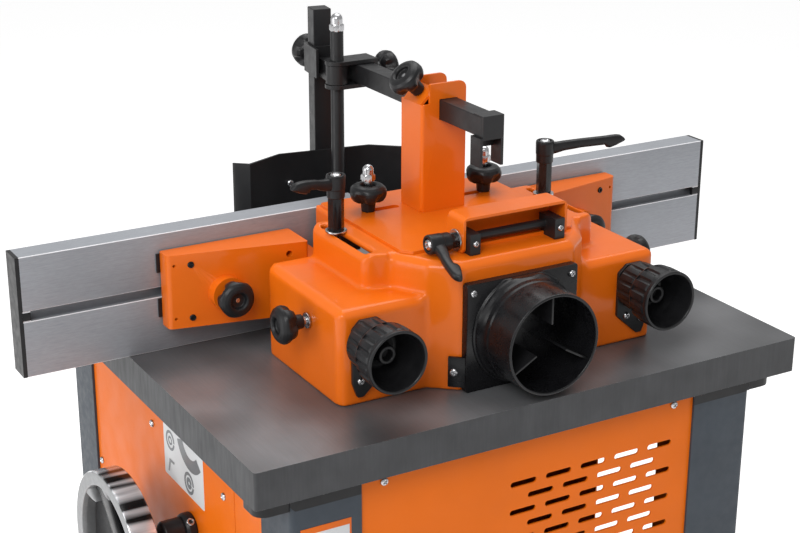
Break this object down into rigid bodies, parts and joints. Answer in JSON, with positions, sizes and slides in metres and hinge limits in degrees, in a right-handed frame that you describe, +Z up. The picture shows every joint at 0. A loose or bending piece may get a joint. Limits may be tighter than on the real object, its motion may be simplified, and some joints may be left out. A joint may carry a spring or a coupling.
{
  "type": "spindle moulder",
  "caption": "Cabinet spindle moulder with cast table, adjustable split fence, dust hood with extraction port and an overhead cutter guard on a sliding arm.",
  "frame": {"origin": "on the floor under the middle of the table, which is also under the spindle", "axes": "+Z up along the spindle, X along the fence, -Y towards the extraction port, +Y towards the operator"},
  "size_m": [0.811, 0.608, 1.1545],
  "materials": {
    "orange_paint": "semi-gloss enamel",
    "slate_paint": "fine textured powder coat",
    "ground_iron": "ground, satin",
    "cast_iron": "as cast, matte",
    "motor_grey": "painted, satin",
    "bright_steel": "bright",
    "polished_rim": "polished",
    "fence_aluminium": "brushed, anodised",
    "black_plastic": "satin",
    "black_steel": "satin powder coat",
    "belt_rubber": "matte",
    "start_green": "gloss",
    "stop_red": "gloss"
  },
  "bodies": {
    "machine_frame": {"base_frame": "slate_paint", "corner_posts": "slate_paint", "vent_panel": "orange_paint", "front_panel": "orange_paint", "left_panels": "orange_paint", "right_panel": "orange_paint", "screws": "bright_steel", "table": "ground_iron", "table_ring": "ground_iron", "spindle_housing": "cast_iron", "wheel_bearing": "cast_iron", "switch_box": "black_plastic", "hood": "orange_paint", "dust_port": "black_plastic", "knob_brackets": "black_steel", "top_plate": "orange_paint", "guard_column": "orange_paint", "bar_cover": "orange_paint", "cross_bar": "black_steel"},
    "quill_unit": {"quill": "cast_iron", "spindle_bearings": "bright_steel", "motor": "motor_grey", "drive_belt": "belt_rubber"},
    "spindle_unit": {"spindle": "bright_steel", "spacer_rings": "bright_steel", "spindle_nut": "bright_steel", "spindle_pulley": "cast_iron"},
    "motor_rotor": {"motor_pulley": "cast_iron"},
    "wheel_unit": {"handwheel": "polished_rim", "wheel_shaft": "bright_steel"},
    "crank": {"crank_knob": "black_plastic"},
    "screw_unit": {"lift_screw": "bright_steel"},
    "lock": {"lock_lever": "black_plastic"},
    "left_carrier": {"left_holder": "orange_paint"},
    "right_carrier": {"right_holder": "orange_paint"},
    "left_plate": {"left_fence": "fence_aluminium"},
    "right_plate": {"right_fence": "fence_aluminium"},
    "left_plate_clamp": {"left_fence_knob": "black_plastic"},
    "right_plate_clamp": {"right_fence_knob": "black_plastic"},
    "left_adjuster": {"left_cup_knob": "black_plastic"},
    "right_adjuster": {"right_cup_knob": "black_plastic"},
    "left_cheek_clamp": {"left_side_knob": "black_plastic"},
    "right_cheek_clamp": {"right_side_knob": "black_plastic"},
    "left_lever": {"left_clamp_lever": "black_plastic"},
    "right_lever": {"right_clamp_lever": "black_plastic"},
    "cover_clamp": {"cover_lever": "black_plastic"},
    "left_top_clamp": {"left_plate_knob": "black_plastic"},
    "right_top_clamp": {"right_plate_knob": "black_plastic"},
    "arm_unit": {"arm": "black_steel", "arm_stop": "black_steel", "arm_bracket": "black_steel"},
    "arm_clamp": {"arm_knob": "black_plastic"},
    "bracket_clamp": {"bracket_knob": "black_plastic"},
    "rod": {"guide_rod": "black_steel"},
    "swivel": {"mast_clamp": "black_steel"},
    "mast_lock": {"mast_knob": "black_plastic"},
    "mast_unit": {"mast": "black_steel", "guard": "black_steel"},
    "start": {"start_button": "start_green"},
    "stop": {"stop_button": "stop_red"}
  },
  "joints": [
    {"name": "handwheel_turn", "type": "hinge", "parent": "machine_frame", "child": "wheel_unit", "pos_m": [-0.301, 0, 0.632], "axis": [1, 0, 0], "range_deg": [-4680, 1080]},
    {"name": "crank_spin", "type": "hinge", "parent": "wheel_unit", "child": "crank", "pos_m": [-0.301, 0, 0.566], "axis": [1, 0, 0], "continuous": true},
    {"name": "spindle_lift", "type": "slide", "parent": "machine_frame", "child": "quill_unit", "axis": [0, 0, 1], "range_m": [-0.065, 0.015]},
    {"name": "screw_turn", "type": "hinge", "parent": "machine_frame", "child": "screw_unit", "pos_m": [-0.135, 0, 0.632], "axis": [0, 0, 1], "range_deg": [-1080, 4680]},
    {"name": "motor_spin", "type": "hinge", "parent": "quill_unit", "child": "motor_rotor", "pos_m": [0, 0.172, 0.56], "axis": [0, 0, 1], "continuous": true},
    {"name": "spindle_spin", "type": "hinge", "parent": "quill_unit", "child": "spindle_unit", "pos_m": [0, 0, 0.86], "axis": [0, 0, 1], "continuous": true},
    {"name": "lock_turn", "type": "hinge", "parent": "machine_frame", "child": "lock", "pos_m": [-0.2563, -0.05, 0.6765], "axis": [-1, 0, 0], "range_deg": [-20, 60]},
    {"name": "left_cup_turn", "type": "hinge", "parent": "machine_frame", "child": "left_adjuster", "pos_m": [-0.15, -0.2265, 0.9215], "axis": [0, 1, 0], "range_deg": [-1080, 2520]},
    {"name": "left_carrier_slide", "type": "slide", "parent": "machine_frame", "child": "left_carrier", "axis": [0, 1, 0], "range_m": [-0.006, 0.014]},
    {"name": "left_plate_slide", "type": "slide", "parent": "left_carrier", "child": "left_plate", "axis": [1, 0, 0], "range_m": [-0.06, 0.015]},
    {"name": "left_plate_knob_turn", "type": "hinge", "parent": "left_carrier", "child": "left_plate_clamp", "pos_m": [-0.209, -0.0568, 0.9213], "axis": [0, -1, 0], "range_deg": [0, 360]},
    {"name": "left_lever_turn", "type": "hinge", "parent": "left_carrier", "child": "left_lever", "pos_m": [-0.1195, -0.108, 0.9863], "axis": [0, 0, 1], "range_deg": [-100, 100]},
    {"name": "left_cheek_knob_turn", "type": "hinge", "parent": "machine_frame", "child": "left_cheek_clamp", "pos_m": [-0.1773, -0.16, 0.925], "axis": [-1, 0, 0], "range_deg": [0, 360]},
    {"name": "left_top_knob_turn", "type": "hinge", "parent": "machine_frame", "child": "left_top_clamp", "pos_m": [-0.067, -0.076, 0.9893], "axis": [0, 0, 1], "range_deg": [0, 360]},
    {"name": "right_cup_turn", "type": "hinge", "parent": "machine_frame", "child": "right_adjuster", "pos_m": [0.15, -0.2265, 0.9215], "axis": [0, 1, 0], "range_deg": [-1080, 2520]},
    {"name": "right_carrier_slide", "type": "slide", "parent": "machine_frame", "child": "right_carrier", "axis": [0, 1, 0], "range_m": [-0.006, 0.014]},
    {"name": "right_plate_slide", "type": "slide", "parent": "right_carrier", "child": "right_plate", "axis": [1, 0, 0], "range_m": [-0.015, 0.06]},
    {"name": "right_plate_knob_turn", "type": "hinge", "parent": "right_carrier", "child": "right_plate_clamp", "pos_m": [0.209, -0.0568, 0.9213], "axis": [0, -1, 0], "range_deg": [0, 360]},
    {"name": "right_lever_turn", "type": "hinge", "parent": "right_carrier", "child": "right_lever", "pos_m": [0.1195, -0.108, 0.9863], "axis": [0, 0, 1], "range_deg": [-100, 100]},
    {"name": "right_cheek_knob_turn", "type": "hinge", "parent": "machine_frame", "child": "right_cheek_clamp", "pos_m": [0.1773, -0.16, 0.925], "axis": [1, 0, 0], "range_deg": [0, 360]},
    {"name": "right_top_knob_turn", "type": "hinge", "parent": "machine_frame", "child": "right_top_clamp", "pos_m": [0.067, -0.076, 0.9893], "axis": [0, 0, 1], "range_deg": [0, 360]},
    {"name": "cover_lever_turn", "type": "hinge", "parent": "machine_frame", "child": "cover_clamp", "pos_m": [-0.049, -0.211, 0.997], "axis": [-1, 0, 0], "range_deg": [0, 108]},
    {"name": "arm_slide", "type": "slide", "parent": "machine_frame", "child": "arm_unit", "axis": [0, 1, 0], "range_m": [-0.015, 0.055]},
    {"name": "arm_knob_turn", "type": "hinge", "parent": "machine_frame", "child": "arm_clamp", "pos_m": [-0.016, -0.0875, 1.106], "axis": [-0.7071, 0, 0.7071], "range_deg": [0, 360]},
    {"name": "bracket_knob_turn", "type": "hinge", "parent": "arm_unit", "child": "bracket_clamp", "pos_m": [0.0201, 0.072, 1.0905], "axis": [1, 0, 0], "range_deg": [0, 360]},
    {"name": "rod_slide", "type": "slide", "parent": "arm_unit", "child": "rod", "axis": [0, 0, 1], "range_m": [-0.03, 0.06]},
    {"name": "mast_swivel", "type": "hinge", "parent": "arm_unit", "child": "swivel", "pos_m": [-0.022, 0.072, 1.0905], "axis": [0, 0, 1], "range_deg": [-10, 25]},
    {"name": "mast_knob_turn", "type": "hinge", "parent": "swivel", "child": "mast_lock", "pos_m": [-0.01601, 0.13238, 1.0975], "axis": [0.1478, 0.989, 0], "range_deg": [0, 360]},
    {"name": "mast_slide", "type": "slide", "parent": "swivel", "child": "mast_unit", "axis": [0, 0, 1], "range_m": [-0.035, 0.05]},
    {"name": "start_press", "type": "slide", "parent": "machine_frame", "child": "start", "axis": [0, -1, 0], "range_m": [0, 0.003], "stiffness_N_per_m": 400, "springref_m": -0.002},
    {"name": "stop_press", "type": "slide", "parent": "machine_frame", "child": "stop", "axis": [0, -1, 0], "range_m": [0, 0.003], "stiffness_N_per_m": 400, "springref_m": -0.002}
  ],
  "couplings": [
    {"joint": "spindle_lift", "follows": "handwheel_turn", "m_per_rad": 0.00079577},
    {"joint": "screw_turn", "follows": "handwheel_turn", "ratio": -1},
    {"joint": "spindle_spin", "follows": "motor_spin", "ratio": 1.7143},
    {"joint": "left_cup_turn", "follows": "left_carrier_slide", "rad_per_m": 3141.6},
    {"joint": "right_cup_turn", "follows": "right_carrier_slide", "rad_per_m": 3141.6}
  ]
}
